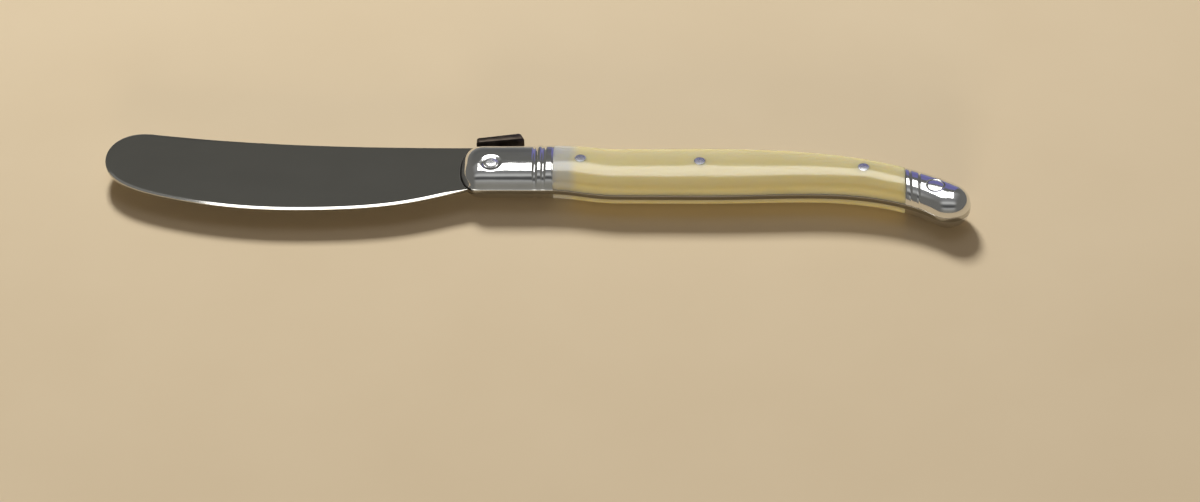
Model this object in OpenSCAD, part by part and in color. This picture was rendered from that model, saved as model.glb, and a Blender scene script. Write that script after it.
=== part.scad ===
// A butter knife with a full-length tang, a bolster at each end of the handle and two pinned scales.
// The knife lies on its side. The tip of the blade points to -X, the back of the blade to +Y,
// and the thickness runs along Z. The origin is at the middle of the bottom of the knife's box.
// The outlines are drawn from the nose of the front bolster, where x and y are zero,
// and every piece is moved to the origin by place().

/* [Blade] */
// Length of the blade, from its tip to the nose of the front bolster
blade_l = 67; // [52:1:85]
// How far the back of the blade stands above the edge of the front bolster
back_step = 0.5; // [0.1:0.1:1]
// How far the tip rises above the back of the blade
tip_rise = 4.05; // [1:0.05:7]
// How far the belly of the blade hangs below the edge of the front bolster
belly_sag = 4.9; // [2:0.05:8]
// How deep each cheek of the blade is ground below the tang
cheek_grind = 0.05; // [0.02:0.01:0.15]
// Width of the bevel along the belly
bevel_w = 0.65; // [0.4:0.05:1.5]
// Depth of the bevel on each cheek
bevel_depth = 0.28; // [0.1:0.02:0.34]

/* [Handle] */
// Thickness of the tang between the scales
tang_t = 1; // [0.8:0.1:1.6]
// Thickness of the handle over both scales
handle_t = 7.6; // [6.6:0.2:10]
// Length of the scales
scale_l = 65; // [55:1:80]
// Width of the handle at the neck, just behind the front bolster
neck_w = 12.2; // [10:0.1:13]
// Width of the handle at its swell
swell_w = 12.4; // [11:0.1:15]
// Width of the handle at its waist, where the scales meet the rear bolster
waist_w = 9.1; // [8.5:0.1:12]
// How far the middle line sinks towards the belly at the swell
swell_drop = 1.25; // [0:0.05:2.5]
// How much further the middle line bends down at the rear bolster
beak_drop = 8.15; // [4:0.05:9]

/* [Front bolster] */
// Length of the front bolster
front_bolster_l = 17.2; // [14:0.2:22]
// Width of the front bolster
bolster_w = 11.6; // [10.4:0.1:13]
// Length of the rounded nose
nose_l = 4; // [2:0.25:5]
// How far the tang's thick part shows in front of the nose
nose_lip = 0.2; // [0.1:0.05:0.5]
// How far the smooth part is thinned below the beads, on each side
body_relief = 0.15; // [0:0.05:0.3]
// Width of one ring bead
front_bead_w = 0.82; // [0.6:0.02:1]
// Number of narrow ring beads
front_beads = 3; // [2:1:4]
// Width of the collar that ends the beads at the scales
collar_w = 1.2; // [0.8:0.1:2]
// Depth of the grooves between beads
bead_depth = 0.25; // [0.1:0.05:0.35]

/* [Rear bolster] */
// Length of the rear bolster, up to the end of the knife
rear_bolster_l = 12; // [10:0.5:14]
// Diameter of the rounded end, seen from the side
beak_d = 8.5; // [8:0.1:11]
// Width of one ring bead
rear_bead_w = 0.9; // [0.6:0.05:1.1]
// Number of ring beads
rear_beads = 3; // [2:1:4]

/* [Pins and rivets] */
// Diameter of the pins through the scales
pin_d = 2; // [1.5:0.1:3]
// Distance of the front pin from the front end of the scales
front_pin_x = 5.1; // [4:0.1:9]
// Distance of the middle pin from the front end of the scales
middle_pin_x = 27.2; // [20:0.1:34]
// Distance of the rear pin from the rear end of the scales
rear_pin_x = 7.6; // [4:0.1:12]
// Distance of the front rivet from the tip of the nose
front_rivet_x = 5.7; // [5:0.1:8]
// How far the front rivet sits below the middle line
front_rivet_drop = 1.4; // [0:0.1:2]
// Diameter of the rivets' shanks
shank_d = 1.8; // [1.2:0.1:2.2]
// Diameter of the front rivet's domed head
dome_d = 2.7; // [2.4:0.1:3.2]
// Height of that dome
dome_h = 0.35; // [0.1:0.05:0.4]
// Diameter of the dimple round the domed head
dimple_d = 4.2; // [3.8:0.1:5]
// Depth of that dimple
dimple_depth = 0.5; // [0.45:0.05:0.7]
// Distance of the rear rivet from the end of the knife
rear_rivet_x = 6.5; // [5.5:0.1:7]
// Diameter of the rear rivet's flush head
rear_head_d = 3.3; // [2.6:0.1:4]
// Thickness of that head
rear_head_h = 1.2; // [0.6:0.1:1.6]
// Gap all round each pin and rivet
pin_gap = 0.02; // [0.01:0.01:0.05]

/* [Spine plate] */
// Distance of the plate from the tip of the nose
plate_x = 2.6; // [1.5:0.1:3.5]
// Length of the plate
plate_l = 8.9; // [7:0.1:10.5]
// Width of the plate, across the back of the knife
plate_w = 4.5; // [3:0.1:6]
// Thickness of the plate
plate_t = 1.2; // [0.8:0.1:1.6]
// How far the plate rises over its length
plate_rise = 1.35; // [0.6:0.05:2]
// Radius of the plate's corners
plate_corner_r = 0.5; // [0.1:0.1:0.5]
// Depth of the plate's foot in the tang
foot_depth = 1.5; // [1:0.1:2]
// Gap round the foot
foot_gap = 0.03; // [0.01:0.01:0.05]

/* [Hidden] */

// How far a cutter runs past what it cuts
overrun = 0.3;
// Facets of each kind of round or curve
round_steps = 48;
curve_steps = 24;
section_steps = 16;
scale_steps = 28;
body_steps = 4;
// Power of the handle's boxy oval section; 2 is an ellipse
section_power = 2.5;
// Power of the nose's outline, which is blunter than an ellipse
nose_power = 2.4;
// Powers of the handle's bend and of the tilt of its sections
bend_power = 3.8;
tilt_power = 2.2;

// Points of the blade's curves. The first number is a share of the blade's length, from the nose.
// On the back, the second goes from the back's height to the top of the tip.
back_shares = [[0.41, 0], [0.654, 0.387], [0.877, 1]];
// On the tip, it goes from the lowest point of the belly to the top of the tip.
tip_top_shares = [[0.958, 1.043], [1, 0.869], [1, 0.688]];
tip_low_shares = [[1, 0.366], [0.89, 0.249], [0.844, 0.198]];
// On the belly, it goes from the edge of the bolster to the lowest point.
belly_shares = [[0.747, 0.603], [0.621, 1], [0.447, 1]];
heel_shares = [[0.165, 1], [0.096, 0.407], [-0.033, -0.137]];
// Where the bevel is at its full width, between its start at the tip and its end at the heel
bevel_full_shares = [0.35, 0.85];
// Where the neck and the swell lie, where the sinking ends and the bend starts, along the scales
neck_share = 0.12;
swell_share = 0.44;
sink_share = 0.19;
bend_share = 0.42;
// Where the waist lies, along the rear bolster
waist_share = 0.1;
// Stations across one bead, and round a nose or a rounded end in degrees
bead_shares = [0, 0.15, 0.5, 0.85];
cap_angles = [75, 60, 45, 30, 15];
// The foot of the spine plate, between the plate's front and rear ends
foot_shares = [0.08, 0.92];
// Share of the rise at which the plate's rear end is cut back
plate_rear_share = 0.07;

blade_t = tang_t - 2 * cheek_grind;
heel_y = -bolster_w / 2;
belly_y = heel_y - belly_sag;
back_y = bolster_w / 2 + back_step;
tip_y = back_y + tip_rise;
shoulder_x = plate_x - foot_gap;
rear_joint_x = front_bolster_l + scale_l;
beak_r = beak_d / 2;
beak_x = rear_joint_x + rear_bolster_l - beak_r;
neck_x = front_bolster_l + scale_l * neck_share;
swell_x = front_bolster_l + scale_l * swell_share;
waist_x = rear_joint_x + rear_bolster_l * waist_share;
bend_x = front_bolster_l + scale_l * bend_share;
bend_slope = bend_power * beak_drop / (beak_x - bend_x);
beak_angle = atan(bend_slope);
front_bead_x = front_bolster_l - collar_w - front_beads * front_bead_w;

function mix(a, b, u) = a + (b - a) * u;
function ease(u) = u <= 0 ? 0 : u >= 1 ? 1 : u * u * (3 - 2 * u);
function bezier(a, b, c, d, u) =
    a * pow(1 - u, 3) + b * 3 * u * pow(1 - u, 2) + c * 3 * u * u * (1 - u) + d * pow(u, 3);
// One stretch of curve, without its last point
function stretch(start, ctrl) =
    [for (i = [0 : curve_steps - 1]) bezier(start, ctrl[0], ctrl[1], ctrl[2], i / curve_steps)];

// The blade's outline, as curves from the back of the blade round the tip to the heel
function blade_points(shares, low, high) = [for (s = shares) [-s[0] * blade_l, mix(low, high, s[1])]];
back_start = [shoulder_x, back_y];
back_ctrl = blade_points(back_shares, back_y, tip_y);
tip_top_ctrl = blade_points(tip_top_shares, belly_y, tip_y);
tip_low_ctrl = blade_points(tip_low_shares, belly_y, tip_y);
belly_ctrl = blade_points(belly_shares, heel_y, belly_y);
heel_ctrl = blade_points(heel_shares, heel_y, belly_y);
belly_start = tip_top_ctrl[2];
belly_edge = concat(
    stretch(belly_start, tip_low_ctrl),
    stretch(tip_low_ctrl[2], belly_ctrl),
    stretch(belly_ctrl[2], heel_ctrl),
    [heel_ctrl[2]]);
blade_edge = concat(
    stretch(back_start, back_ctrl),
    stretch(back_ctrl[2], tip_top_ctrl),
    belly_edge);

// The handle, as a run of sections. Each has a middle point, a half width and a tilt.
function middle_y(x) =
    -swell_drop * ease((x - front_bolster_l) / (scale_l * sink_share))
    - beak_drop * pow(max(0, (x - bend_x) / (beak_x - bend_x)), bend_power);
function tilt(x) = beak_angle * pow(max(0, (x - rear_joint_x) / (beak_x - rear_joint_x)), tilt_power);
function half_w(x) =
    x < neck_x ? mix(bolster_w, neck_w, ease((x - front_bolster_l) / (neck_x - front_bolster_l))) / 2
    : x < swell_x ? mix(neck_w, swell_w, ease((x - neck_x) / (swell_x - neck_x))) / 2
    : x < waist_x ? mix(swell_w, waist_w, ease((x - swell_x) / (waist_x - swell_x))) / 2
    : mix(waist_w, beak_d, ease((x - waist_x) / (beak_x - waist_x))) / 2;
// A section is [x, y, half width, half thickness above the tang, tilt]
cover_t = (handle_t - tang_t) / 2;
function section(x) = [x, middle_y(x), half_w(x), cover_t, tilt(x)];
function inset(s, w, t) = [s[0], s[1], s[2] - w, s[3] - t, s[4]];
function edge_point(s, side) = [s[0] + side * s[2] * sin(s[4]), s[1] + side * s[2] * cos(s[4])];

// How far a section has narrowed on its way to a rounded end, at an angle of 0 to 90 degrees
function cap(a, power) = pow(1 - pow(sin(a), power), 1 / power);
// The run over which the smooth part falls to the groove beside the first bead
groove_run = bead_depth / 2;
// Groove depth across a row of beads, zero at each bead's crest
function groove(u) = bead_depth * (1 - sqrt(max(0, 1 - pow(2 * u - 1, 2))));
function bead_row(start, w, count) =
    [for (i = [0 : count - 1]) for (u = bead_shares)
        inset(section(start + (i + u) * w), groove(u), groove(u))];

scale_sections = [for (i = [0 : scale_steps]) section(front_bolster_l + scale_l * i / scale_steps)];

nose_sections = [for (a = cap_angles)
    [nose_l * (1 - sin(a)), 0, bolster_w / 2 * cap(a, nose_power), (cover_t - body_relief) * cap(a, 2), 0]];
front_sections = concat(
    nose_sections,
    [for (i = [0 : body_steps])
        inset(section(mix(nose_l, front_bead_x - groove_run, i / body_steps)), 0, body_relief)],
    bead_row(front_bead_x, front_bead_w, front_beads),
    bead_row(front_bolster_l - collar_w, collar_w, 1),
    [inset(section(front_bolster_l), bead_depth, bead_depth)]);

rear_body_x = rear_joint_x + rear_beads * rear_bead_w;
beak_middle = [beak_x, middle_y(beak_x)];
beak_axis = [cos(beak_angle), -sin(beak_angle)];
function beak_section(a) =
    let (p = beak_middle + beak_r * sin(a) * beak_axis)
    [p[0], p[1], beak_r * cap(a, 2), cover_t * cap(a, section_power), beak_angle];
rear_body_sections =
    [for (i = [0 : body_steps]) section(mix(rear_body_x + groove_run, beak_x, i / body_steps))];
beak_sections = [for (i = [len(cap_angles) - 1 : -1 : 0]) beak_section(cap_angles[i])];
rear_sections = concat(
    bead_row(rear_joint_x, rear_bead_w, rear_beads),
    [inset(section(rear_body_x), bead_depth, bead_depth)],
    rear_body_sections,
    beak_sections);
beak_tip = beak_middle + beak_r * beak_axis;

// The outline of the blade and the tang in one piece
tang_sections = concat(scale_sections, rear_body_sections, beak_sections);
tang_edge_low = [for (s = tang_sections) edge_point(s, -1)];
tang_edge_top = [for (i = [len(tang_sections) - 1 : -1 : 0]) edge_point(tang_sections[i], 1)];
plate_outline = concat(
    blade_edge,
    [[nose_l, -bolster_w / 2]],
    tang_edge_low,
    [beak_tip],
    tang_edge_top,
    [[shoulder_x, bolster_w / 2]]);

outline_x = [for (p = plate_outline) p[0]];
outline_y = [for (p = plate_outline) p[1]];
mid_x = (min(outline_x) + max(outline_x)) / 2;
mid_y = (min(outline_y) + max(outline_y)) / 2;

rear_end_x = rear_joint_x + rear_bolster_l;
rear_rivet_at = [rear_end_x - rear_rivet_x, middle_y(rear_end_x - rear_rivet_x)];
front_rivet_at = [front_rivet_x, -front_rivet_drop];
function pin_at(x) = [x, middle_y(x)];
pin_places = [
    pin_at(front_bolster_l + front_pin_x),
    pin_at(front_bolster_l + middle_pin_x),
    pin_at(rear_joint_x - rear_pin_x)];

module place() {
    translate([-mid_x, -mid_y, handle_t / 2])
        children();
}

// A solid through a row of closed rings, which may end in a point at either end
module loft(rings, first_tip = undef, last_tip = undef) {
    n = len(rings[0]);
    last = len(rings) - 1;
    first_i = len(rings) * n;
    last_i = first_i + (is_undef(first_tip) ? 0 : 1);
    points = concat(
        [for (r = rings) for (p = r) p],
        is_undef(first_tip) ? [] : [first_tip],
        is_undef(last_tip) ? [] : [last_tip]);
    sides = [for (j = [0 : last - 1]) for (k = [0 : n - 1])
        let (a = j * n + k, b = a + n, c = (j + 1) * n + (k + 1) % n, d = c - n)
        each [[a, b, c], [a, c, d]]];
    first_end = is_undef(first_tip)
        ? [[for (k = [0 : n - 1]) k]]
        : [for (k = [0 : n - 1]) [first_i, k, (k + 1) % n]];
    last_end = is_undef(last_tip)
        ? [[for (k = [n - 1 : -1 : 0]) last * n + k]]
        : [for (k = [0 : n - 1]) [last * n + k, last_i, last * n + (k + 1) % n]];
    polyhedron(points, concat(sides, first_end, last_end), convexity = 8);
}

function signed_pow(v, e) = sign(v) * pow(abs(v), e);
// One half section, from the back edge over the cheek to the belly edge, flat on the tang
function section_ring(s) = [for (k = [0 : section_steps])
    let (
        a = 180 * k / section_steps,
        across = s[2] * signed_pow(cos(a), 2 / section_power),
        up = s[3] * (k == 0 || k == section_steps ? 0 : pow(sin(a), 2 / section_power)))
    [s[0] + across * sin(s[4]), s[1] + across * cos(s[4]), tang_t / 2 + up]];
function section_rings(sections) = [for (s = sections) section_ring(s)];
function on_tang(p) = [p[0], p[1], tang_t / 2];

module hole(at, d) {
    translate([at[0], at[1], 0])
        cylinder(h = handle_t + 2 * overrun, d = d, center = true, $fn = round_steps);
}

// The bevel's cutter on the upper cheek: a wedge that runs along the belly edge
edge_last = len(belly_edge) - 1;
function edge_normal(i) =
    let (
        d = belly_edge[min(i + 1, edge_last)] - belly_edge[max(i - 1, 0)])
    [d[1], -d[0]] / norm(d);
function bevel_fade(u) =
    ease(u / bevel_full_shares[0]) * ease((1 - u) / (1 - bevel_full_shares[1]));
function bevel_ring(i) =
    let (
        slope = bevel_depth / bevel_w,
        w = bevel_w * bevel_fade(i / edge_last),
        inner = belly_edge[i] - edge_normal(i) * (w + overrun),
        outer = belly_edge[i] + edge_normal(i) * overrun)
    [
        [inner[0], inner[1], blade_t / 2 + overrun * slope],
        [outer[0], outer[1], blade_t / 2 + overrun],
        [outer[0], outer[1], blade_t / 2 - (w + overrun) * slope],
    ];
module bevel_cutter() {
    loft([for (i = [0 : edge_last]) bevel_ring(i)]);
}

// The part of the outline that keeps the tang's full thickness. It starts in the shape of the nose,
// one lip larger all round.
zone_half_w = bolster_w / 2 + nose_lip;
function zone_point(a, side) =
    [nose_l - (nose_l + nose_lip) * sin(a), side * zone_half_w * cap(a, nose_power)];
module tang_zone() {
    polygon(concat(
        [[nose_l, -zone_half_w]],
        [for (i = [len(cap_angles) - 1 : -1 : 0]) zone_point(cap_angles[i], -1)],
        [[-nose_lip, 0]],
        [for (a = cap_angles) zone_point(a, 1)],
        [[nose_l, zone_half_w]]));
    translate([nose_l, -bolster_w - beak_drop - swell_drop])
        square([rear_end_x, 2 * bolster_w + beak_drop + swell_drop]);
}

foot_x = [for (s = foot_shares) plate_x + s * plate_l];
module blade_and_tang() {
    color("dimgray") place() difference() {
        union() {
            linear_extrude(height = blade_t, center = true)
                polygon(plate_outline);
            linear_extrude(height = tang_t, center = true)
                intersection() {
                    polygon(plate_outline);
                    tang_zone();
                }
        }
        bevel_cutter();
        mirror([0, 0, 1]) bevel_cutter();
        for (p = pin_places) hole(p, pin_d + 2 * pin_gap);
        hole(front_rivet_at, shank_d + 2 * pin_gap);
        hole(rear_rivet_at, shank_d + 2 * pin_gap);
        translate([foot_x[0] - foot_gap, bolster_w / 2 - foot_depth - foot_gap, -tang_t])
            cube([foot_x[1] - foot_x[0] + 2 * foot_gap, foot_depth + overrun, 2 * tang_t]);
    }
}

// The ball that presses the dimple round the front rivet
dimple_r = (pow(dimple_d / 2, 2) + pow(dimple_depth, 2)) / (2 * dimple_depth);
front_face_z = tang_t / 2 + cover_t - body_relief;
dimple_floor_z = front_face_z - dimple_depth;
module front_bolster_half() {
    difference() {
        loft(section_rings(front_sections), first_tip = [0, 0, tang_t / 2]);
        hole(front_rivet_at, shank_d + 2 * pin_gap);
        translate([front_rivet_at[0], front_rivet_at[1], dimple_floor_z + dimple_r])
            sphere(r = dimple_r, $fn = round_steps);
    }
}
module front_bolster_upper() {
    color("silver") place() front_bolster_half();
}
module front_bolster_lower() {
    color("silver") place() mirror([0, 0, 1]) front_bolster_half();
}

module rear_bolster_half() {
    difference() {
        loft(section_rings(rear_sections), last_tip = on_tang(beak_tip));
        hole(rear_rivet_at, shank_d + 2 * pin_gap);
        translate([rear_rivet_at[0], rear_rivet_at[1], handle_t / 2 - rear_head_h - pin_gap])
            cylinder(h = rear_head_h + overrun, d = rear_head_d + 2 * pin_gap, $fn = round_steps);
    }
}
module rear_bolster_upper() {
    color("silver") place() rear_bolster_half();
}
module rear_bolster_lower() {
    color("silver") place() mirror([0, 0, 1]) rear_bolster_half();
}

module scale_half() {
    difference() {
        loft(section_rings(scale_sections));
        for (p = pin_places) hole(p, pin_d + 2 * pin_gap);
    }
}
module scale_upper() {
    color("palegoldenrod") place() scale_half();
}
module scale_lower() {
    color("palegoldenrod") place() mirror([0, 0, 1]) scale_half();
}

module scale_pin(at) {
    color("lightsteelblue") place() translate([at[0], at[1], 0])
        cylinder(h = handle_t, d = pin_d, center = true, $fn = round_steps);
}
module scale_pin_front() {
    scale_pin(pin_places[0]);
}
module scale_pin_middle() {
    scale_pin(pin_places[1]);
}
module scale_pin_rear() {
    scale_pin(pin_places[2]);
}

// The domed head of the front rivet stands on the floor of its dimple
dome_r = (pow(dome_d / 2, 2) + pow(dome_h, 2)) / (2 * dome_h);
module domed_head() {
    translate([0, 0, dimple_floor_z])
        intersection() {
            cylinder(h = dimple_depth, d = dome_d, $fn = round_steps);
            translate([0, 0, dome_h - dome_r + dimple_lift])
                sphere(r = dome_r, $fn = round_steps);
        }
}
// The dimple rises towards its rim, so the head starts where its edge clears the dimple
dimple_lift = dimple_r - sqrt(pow(dimple_r, 2) - pow(dome_d / 2, 2)) + pin_gap;
module front_bolster_rivet() {
    color("gainsboro") place() translate([front_rivet_at[0], front_rivet_at[1], 0]) {
        cylinder(h = 2 * dimple_floor_z + 2 * pin_gap, d = shank_d, center = true, $fn = round_steps);
        domed_head();
        mirror([0, 0, 1]) domed_head();
    }
}

module rear_bolster_rivet() {
    color("gainsboro") place() translate([rear_rivet_at[0], rear_rivet_at[1], 0]) {
        cylinder(h = handle_t, d = shank_d, center = true, $fn = round_steps);
        for (side = [0, 1]) mirror([0, 0, side])
            translate([0, 0, handle_t / 2 - rear_head_h])
                cylinder(h = rear_head_h, d = rear_head_d, $fn = round_steps);
    }
}

// The side view of the spine plate: a sloping plate with a cut-back rear end, on a foot
seat_y = bolster_w / 2 + foot_gap;
plate_end_x = plate_x + plate_l;
plate_under_end_y = seat_y + plate_rise * (1 - plate_rear_share);
module plate_side() {
    polygon([
        [plate_x, seat_y],
        [plate_x, seat_y + plate_t],
        [plate_end_x - plate_t, seat_y + plate_t + plate_rise],
        [plate_end_x - plate_t / 2, seat_y + plate_t + plate_rise],
        [plate_end_x, plate_under_end_y],
    ]);
}
module foot_side() {
    polygon([
        [foot_x[0], bolster_w / 2 - foot_depth],
        [foot_x[0], seat_y + plate_t / 2],
        [foot_x[1], seat_y + plate_rise],
        [foot_x[1], bolster_w / 2 - foot_depth],
    ]);
}
// The plan of the spine plate, with round corners, as a slab that stands along the back
module plate_plan() {
    r = plate_corner_r;
    l = plate_l / 2 - r;
    w = plate_w / 2 - r;
    translate([plate_x + plate_l / 2, 0, 0])
        rotate([-90, 0, 0])
        linear_extrude(height = bolster_w + plate_rise)
            union() {
                square([2 * l, 2 * (w + r)], center = true);
                square([2 * (l + r), 2 * w], center = true);
                for (sx = [-1, 1], sy = [-1, 1])
                    translate([sx * l, sy * w]) circle(r = r, $fn = round_steps);
            }
}
module spine_plate() {
    color("saddlebrown") place() {
        intersection() {
            linear_extrude(height = plate_w, center = true) plate_side();
            plate_plan();
        }
        linear_extrude(height = tang_t - 2 * foot_gap, center = true) foot_side();
    }
}

blade_and_tang();
front_bolster_upper();
front_bolster_lower();
rear_bolster_upper();
rear_bolster_lower();
scale_upper();
scale_lower();
scale_pin_front();
scale_pin_middle();
scale_pin_rear();
front_bolster_rivet();
rear_bolster_rivet();
spine_plate();
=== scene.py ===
import math

import bmesh
import bpy
from mathutils import Matrix, Vector


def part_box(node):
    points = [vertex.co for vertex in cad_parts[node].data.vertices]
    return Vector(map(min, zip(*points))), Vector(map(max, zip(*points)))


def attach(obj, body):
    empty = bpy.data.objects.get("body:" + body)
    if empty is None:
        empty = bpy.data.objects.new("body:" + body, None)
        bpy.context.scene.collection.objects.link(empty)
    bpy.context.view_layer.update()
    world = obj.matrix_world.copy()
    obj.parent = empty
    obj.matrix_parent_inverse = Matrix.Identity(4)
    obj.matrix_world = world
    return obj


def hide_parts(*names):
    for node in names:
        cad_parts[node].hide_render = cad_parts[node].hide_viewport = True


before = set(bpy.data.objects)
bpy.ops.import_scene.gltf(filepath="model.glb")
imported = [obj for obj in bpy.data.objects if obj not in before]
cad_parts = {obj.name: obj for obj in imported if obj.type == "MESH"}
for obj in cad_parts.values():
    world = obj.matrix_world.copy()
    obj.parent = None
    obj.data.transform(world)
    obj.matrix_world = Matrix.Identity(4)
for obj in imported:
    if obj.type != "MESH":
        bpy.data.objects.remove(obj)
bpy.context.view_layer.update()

# Units
MM = 0.001
PI = math.pi

# Sizes and places read from the frame
NOSE_LOW, NOSE_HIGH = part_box("front_bolster_upper")
SCALE_LOW, SCALE_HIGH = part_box("scale_upper")
REAR_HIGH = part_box("rear_bolster_upper")[1]
BLADE_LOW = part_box("blade_and_tang")[0]
PLATE_LOW, PLATE_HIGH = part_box("spine_plate")


def middle_of(node):
    """The middle of a node's box."""
    low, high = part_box(node)
    return (low + high) / 2


# The nose of the front bolster, on the middle line: the handle's curves are measured from here
NOSE_X = NOSE_LOW.x
NOSE_Y = middle_of("front_bolster_upper").y
MIDDLE_Z = SCALE_HIGH.z / 2
TANG_HALF_T = SCALE_LOW.z - MIDDLE_Z
COVER_T = SCALE_HIGH.z - SCALE_LOW.z
BOLSTER_W = NOSE_HIGH.y - NOSE_LOW.y
JOINT_X = SCALE_LOW.x - NOSE_X
REAR_JOINT_X = SCALE_HIGH.x - NOSE_X
END_X = REAR_HIGH.x - NOSE_X
SCALE_L = REAR_JOINT_X - JOINT_X
BLADE_L = NOSE_X - BLADE_LOW.x
PIN_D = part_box("scale_pin_front")[1].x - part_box("scale_pin_front")[0].x
REAR_HEAD_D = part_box("rear_bolster_rivet")[1].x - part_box("rear_bolster_rivet")[0].x

# The handle's curves
NECK_W = 12.2 * MM
SWELL_W = 12.4 * MM
WAIST_W = 9.1 * MM
SWELL_DROP = 1.25 * MM
BEAK_DROP = 8.15 * MM
BEAK_D = 8.5 * MM
NECK_SHARE = 0.12
SWELL_SHARE = 0.44
SINK_SHARE = 0.19
BEND_SHARE = 0.42
WAIST_SHARE = 0.1
BEND_POWER = 3.8
TILT_POWER = 2.2
# How square the bolsters' rounded sections are, where 2 gives an ellipse
FRONT_POWER = 2.7
REAR_POWER = 2.2
BEAK_POWER = 2.2
# The bolsters' flanks and ends lean in a little instead of standing upright on the tang
FRONT_LEAN = 0.11
NOSE_LEAN = 0.06
REAR_LEAN = 0.04
LEAN_POWER = 2.9
# How far the tang's edge stands out beyond the covers
TANG_PROUD = 0.1 * MM
BEAK_X = END_X - BEAK_D / 2
NECK_X = JOINT_X + SCALE_L * NECK_SHARE
SWELL_X = JOINT_X + SCALE_L * SWELL_SHARE
WAIST_X = REAR_JOINT_X + (END_X - REAR_JOINT_X) * WAIST_SHARE
BEND_X = JOINT_X + SCALE_L * BEND_SHARE
BEAK_ANGLE = math.atan(BEND_POWER * BEAK_DROP / (BEAK_X - BEND_X))

# Half the blade's thickness at its back
BLADE_HALF_T = 0.45 * MM

# The front bolster
NOSE_L = 4 * MM
NOSE_POWER = 2.4
# How much lower the smooth part is than the rings
BODY_RELIEF = 0.15 * MM
# The ring grooves: each has its distance from the scales, its half width and its depth
FRONT_GROOVES = (
    (3.35 * MM, 0.62 * MM, 0.29 * MM),
    (1.78 * MM, 0.62 * MM, 0.29 * MM),
    (0, 0.3 * MM, 0.12 * MM),
)
# How long the stretch with the grooves is
FRONT_RINGS_L = 4 * MM
# How much of the grooves' depth is left at the flanks
FLANK_SHARE = 0.25
# The dimple round the front rivet, and the rivet's domed head in it
DIMPLE_R = 2.05 * MM
DIMPLE_DEPTH = 0.34 * MM
DIMPLE_SOFTNESS = 0.04 * MM
DOME_R = 1.35 * MM
DOME_H = 0.26 * MM
DOME_TOP_RISE = 0.1 * MM
DOME_POWER = 5

# The rear bolster
REAR_GROOVES = (
    (0, 0.3 * MM, 0.12 * MM),
    (0.97 * MM, 0.4 * MM, 0.18 * MM),
    (2.57 * MM, 0.4 * MM, 0.18 * MM),
)
REAR_RINGS_L = 3 * MM
REAR_HEAD_H = 1.2 * MM
# The fine groove that shows round a rivet's head
HEAD_GROOVE_DEPTH = 0.09 * MM
HEAD_GROOVE_W = 0.11 * MM

# The scales
SCALE_POWER = 2.15
SCALE_EDGE_R = 0.12 * MM
# How much higher the scales are at the pins, and how wide that rise is
CREST_H = 0.12 * MM
CREST_R = 2.8 * MM

# Pins and rivets
SHANK_R = 0.9 * MM
SHANK_L = 1.4 * MIDDLE_Z
DRILL_L = 4 * MIDDLE_Z
FIT_GAP = 0.02 * MM
# How much lower a flush head's edge is than its middle: the scale pins are dished a little
PIN_CROWN = -0.012 * MM
HEAD_CROWN = 0.1 * MM

# How finely the shapes are cut
NOSE_STEPS = 26
BODY_STEPS = 80
RING_STEPS = 100
SCALE_STEPS = 260
REAR_BODY_STEPS = 72
BEAK_STEPS = 30
RING_ROWS = 151
# The share of a cover's rows that lies on its outside: the others lie on the tang
CHEEK_SHARE = 0.8
# How closely the scales' stations crowd towards both ends
END_CROWDING = 0.9
# Where a cover's end is closed, and below which level its pressed forms fade out, as shares of
# its thickness
CLOSING_SHARE = 0.4
PRESS_FADE_SHARE = 0.6
MERGE_DISTANCE = 0.001 * MM
PIN_SIDES = 56
PIN_RINGS = 10
# Edges that turn by more than this stay sharp
SHARP_ANGLE = math.radians(32)
BLADE_SHARP_ANGLE = math.radians(14)
PLATE_SHARP_ANGLE = math.radians(30)


class Value:
    """A number on a node's socket. Python's operators on it add Math nodes."""

    def __init__(self, maker, socket):
        self.maker = maker
        self.socket = socket

    def math(self, operation, *others):
        return self.maker.math(operation, self, *others)

    def __add__(self, other):
        return self.math("ADD", other)

    __radd__ = __add__

    def __sub__(self, other):
        return self.math("SUBTRACT", other)

    def __rsub__(self, other):
        return self.maker.math("SUBTRACT", other, self)

    def __mul__(self, other):
        return self.math("MULTIPLY", other)

    __rmul__ = __mul__

    def __truediv__(self, other):
        return self.math("DIVIDE", other)

    def __pow__(self, other):
        return self.math("POWER", other)

    def __neg__(self):
        return self.math("MULTIPLY", -1)


class Maker:
    """Adds nodes to one tree."""

    def __init__(self, tree):
        self.tree = tree

    def link(self, value, socket):
        if isinstance(value, Value):
            value = value.socket
        if isinstance(value, bpy.types.NodeSocket):
            self.tree.links.new(value, socket)
        else:
            socket.default_value = value

    def node(self, kind, inputs=None, settings=None):
        """A node of a type, with its settings and the values or links of its sockets."""
        made = self.tree.nodes.new(kind)
        for name, setting in (settings or {}).items():
            setattr(made, name, setting)
        for name, value in (inputs or {}).items():
            for one in value if isinstance(value, list) else [value]:
                self.link(one, made.inputs[name])
        return made

    def value(self, kind, inputs=None, settings=None, output=0):
        """One output of a new node, as a Value."""
        return Value(self, self.node(kind, inputs, settings).outputs[output])

    def math(self, operation, *values):
        return self.value("ShaderNodeMath", dict(enumerate(values)), {"operation": operation})

    def parts(self, vector):
        """The X, Y and Z of a vector."""
        made = self.node("ShaderNodeSeparateXYZ", {0: vector})
        return [Value(self, made.outputs[i]) for i in range(3)]

    def vector(self, x, y, z):
        return self.value("ShaderNodeCombineXYZ", {0: x, 1: y, 2: z})


def set_stops(ramp, stops):
    """Gives a colour ramp its stops, as (place, colour) pairs."""
    while len(ramp.elements) < len(stops):
        ramp.elements.new(1)
    for element, (place, colour) in zip(ramp.elements, stops):
        element.position = place
        element.color = (*colour, 1)


def at_least(value, low):
    return value.math("MAXIMUM", low) if isinstance(value, Value) else max(value, low)


def at_most(value, high):
    return value.math("MINIMUM", high) if isinstance(value, Value) else min(value, high)


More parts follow.
